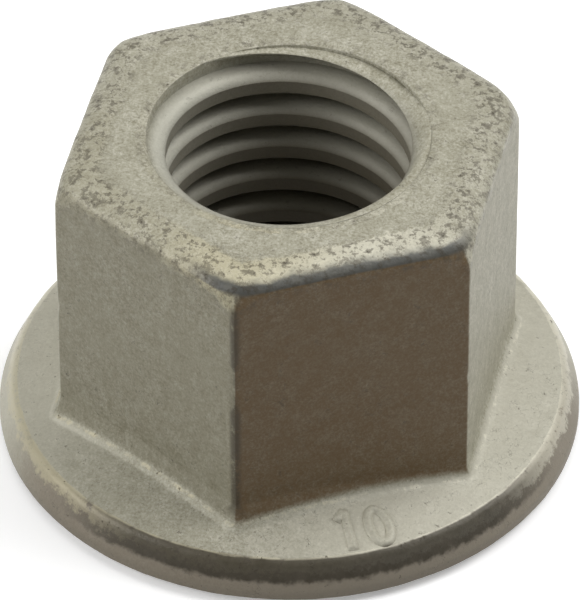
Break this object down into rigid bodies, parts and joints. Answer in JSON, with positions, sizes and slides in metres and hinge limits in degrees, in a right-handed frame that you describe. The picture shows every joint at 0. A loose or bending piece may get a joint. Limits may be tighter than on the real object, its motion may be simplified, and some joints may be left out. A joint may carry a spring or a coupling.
{
  "type": "serrated flange nut",
  "caption": "Tall forged hexagon nut on a round flange, with a right-hand metric thread through it and radial locking teeth under the flange.",
  "frame": {"origin": "on the thread axis, in the plane of the locking teeth's tips that the nut stands on", "axes": "+Z along the thread axis, from the flange to the hexagon's top; +X out through the middle of a spanner flat"},
  "size_m": [0.0208, 0.0208, 0.0128],
  "materials": {
    "zinc_flake_steel": "dull grey zinc-flake coating over forged steel, mottled, scuffed at the edges"
  },
  "bodies": {
    "root": {"flange_nut": "zinc_flake_steel"}
  },
  "joints": []
}
